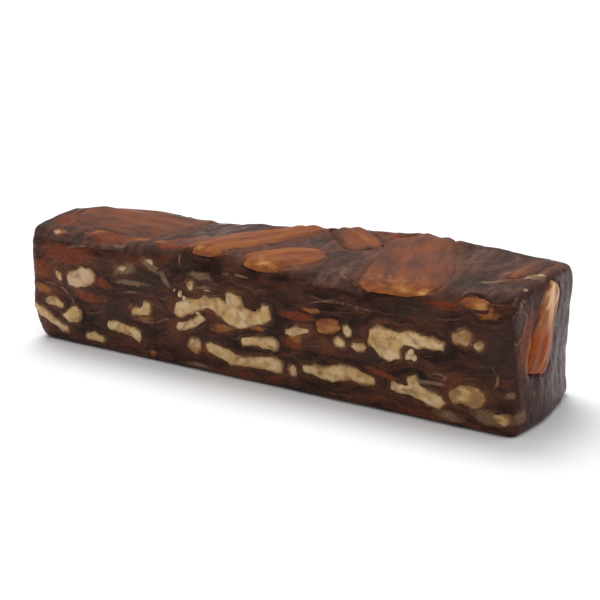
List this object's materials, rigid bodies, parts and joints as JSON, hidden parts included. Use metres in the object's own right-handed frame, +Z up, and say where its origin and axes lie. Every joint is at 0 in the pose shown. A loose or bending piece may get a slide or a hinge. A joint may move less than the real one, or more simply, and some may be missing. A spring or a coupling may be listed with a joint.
{
  "type": "date and walnut cake",
  "caption": "Pressed finger of date cake with walnut kernels, cut along its long sides, with flattened whole dates on top.",
  "frame": {"origin": "middle of the flat base, at the bottom centre of the whole piece's box", "axes": "+Z up; +X along the finger, towards the end with the upright date; -Y is the cut side that shows its kernels in rows"},
  "size_m": [0.1924, 0.0492, 0.0462],
  "materials": {
    "date_paste": "sticky, satin to gloss",
    "date_skin": "wrinkled, satin",
    "walnut_kernel": "matte, cut"
  },
  "bodies": {
    "root": {"date_front_01": "date_skin", "date_front_02": "date_skin", "date_left_01": "date_skin", "date_mass": "date_paste", "date_right_01": "date_skin", "date_top_01": "date_skin", "date_top_02": "date_skin", "date_top_03": "date_skin", "date_top_04": "date_skin", "date_top_05": "date_skin", "date_top_06": "date_skin", "walnut_back_01": "walnut_kernel", "walnut_back_02": "walnut_kernel", "walnut_back_03": "walnut_kernel", "walnut_back_04": "walnut_kernel", "walnut_back_05": "walnut_kernel", "walnut_back_06": "walnut_kernel", "walnut_back_07": "walnut_kernel", "walnut_back_08": "walnut_kernel", "walnut_back_09": "walnut_kernel", "walnut_back_10": "walnut_kernel", "walnut_back_11": "walnut_kernel", "walnut_back_12": "walnut_kernel", "walnut_front_01": "walnut_kernel", "walnut_front_02": "walnut_kernel", "walnut_front_03": "walnut_kernel", "walnut_front_04": "walnut_kernel", "walnut_front_05": "walnut_kernel", "walnut_front_06": "walnut_kernel", "walnut_front_07": "walnut_kernel", "walnut_front_08": "walnut_kernel", "walnut_front_09": "walnut_kernel", "walnut_front_10": "walnut_kernel", "walnut_front_11": "walnut_kernel", "walnut_front_12": "walnut_kernel", "walnut_front_13": "walnut_kernel", "walnut_front_14": "walnut_kernel", "walnut_front_15": "walnut_kernel", "walnut_front_16": "walnut_kernel", "walnut_front_17": "walnut_kernel", "walnut_front_18": "walnut_kernel", "walnut_front_19": "walnut_kernel", "walnut_front_20": "walnut_kernel", "walnut_front_21": "walnut_kernel", "walnut_front_22": "walnut_kernel", "walnut_front_23": "walnut_kernel", "walnut_front_24": "walnut_kernel", "walnut_front_25": "walnut_kernel", "walnut_front_26": "walnut_kernel", "walnut_front_27": "walnut_kernel", "walnut_left_01": "walnut_kernel", "walnut_left_02": "walnut_kernel"}
  },
  "joints": []
}
